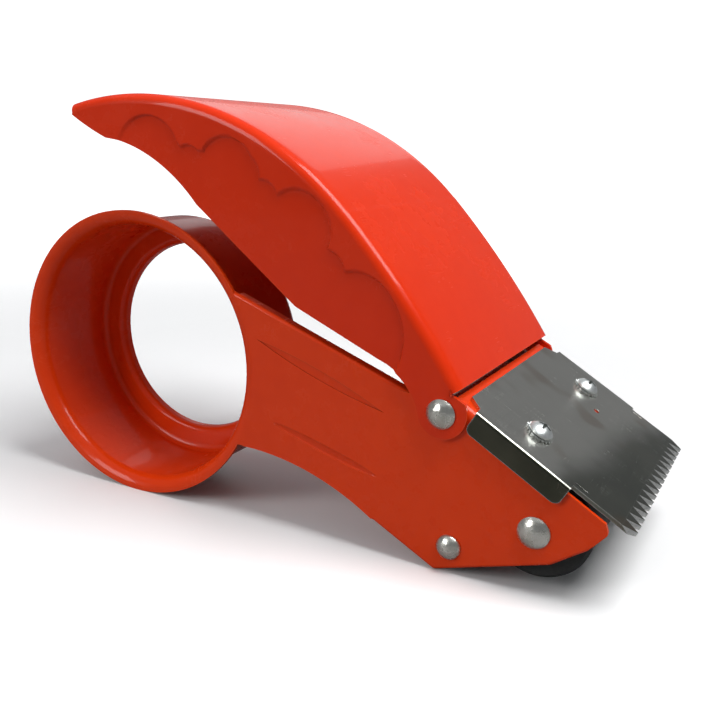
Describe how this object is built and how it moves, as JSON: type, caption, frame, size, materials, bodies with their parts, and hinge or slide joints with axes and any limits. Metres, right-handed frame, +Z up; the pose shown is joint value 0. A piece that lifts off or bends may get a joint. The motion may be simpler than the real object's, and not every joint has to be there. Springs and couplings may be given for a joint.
{
  "type": "tape dispenser",
  "caption": "Hand-held packing tape gun: ring-shaped tape drum and arm, leaf cover over the roll, toothed steel cutter plate, rubber press roller and guide roller.",
  "frame": {"origin": "centre of the footprint of the whole tool, at the level it stands on", "axes": "+X from the tape drum to the cutter teeth, +Y along the drum and roller axes from the ring side to the open side, +Z up with the tool standing on its drum rim and front plates"},
  "size_m": [0.179, 0.075, 0.1101],
  "materials": {
    "frame_enamel": "glossy orange-red enamel on sheet steel",
    "cover_enamel": "glossy orange-red enamel on sheet steel",
    "blade_steel": "rolled steel with ground tooth edges",
    "rivet_steel": "satin nickel-plated steel",
    "zinc_steel": "bright zinc plate",
    "spring_steel": "drawn spring wire",
    "roller_rubber": "matt black rubber",
    "roller_nylon": "natural nylon",
    "sleeve_plastic": "black plastic tube"
  },
  "bodies": {
    "frame": {"frame": "frame_enamel", "cutter_plate": "blade_steel", "cover_pivot_rod": "rivet_steel", "guide_rod": "rivet_steel", "roller_axle": "rivet_steel", "plate_screw_near": "zinc_steel", "plate_screw_far": "zinc_steel", "lock_washer_near": "zinc_steel", "lock_washer_far": "zinc_steel", "plate_nut_near": "zinc_steel", "plate_nut_far": "zinc_steel", "roller_washer_near": "zinc_steel", "roller_washer_far": "zinc_steel", "cover_spring": "spring_steel"},
    "cover": {"cover": "cover_enamel"},
    "front_roller": {"roller_tyre": "roller_rubber", "roller_core": "roller_nylon", "roller_bush_near": "roller_nylon", "roller_bush_far": "roller_nylon"},
    "guide_roller": {"guide_sleeve": "sleeve_plastic"}
  },
  "joints": [
    {"name": "cover_hinge", "type": "hinge", "parent": "frame", "child": "cover", "pos_m": [0.04341, 0, 0.0402], "axis": [0, 1, 0], "range_deg": [-6, 24], "stiffness_Nm_per_rad": 1, "springref_deg": 3.09, "deforming": ["cover_spring"]},
    {"name": "front_roller_spin", "type": "hinge", "parent": "frame", "child": "front_roller", "pos_m": [0.06721, 0, 0.0159], "axis": [0, 1, 0], "continuous": true},
    {"name": "guide_roller_spin", "type": "hinge", "parent": "frame", "child": "guide_roller", "pos_m": [0.04691, 0, 0.007], "axis": [0, 1, 0], "continuous": true}
  ]
}
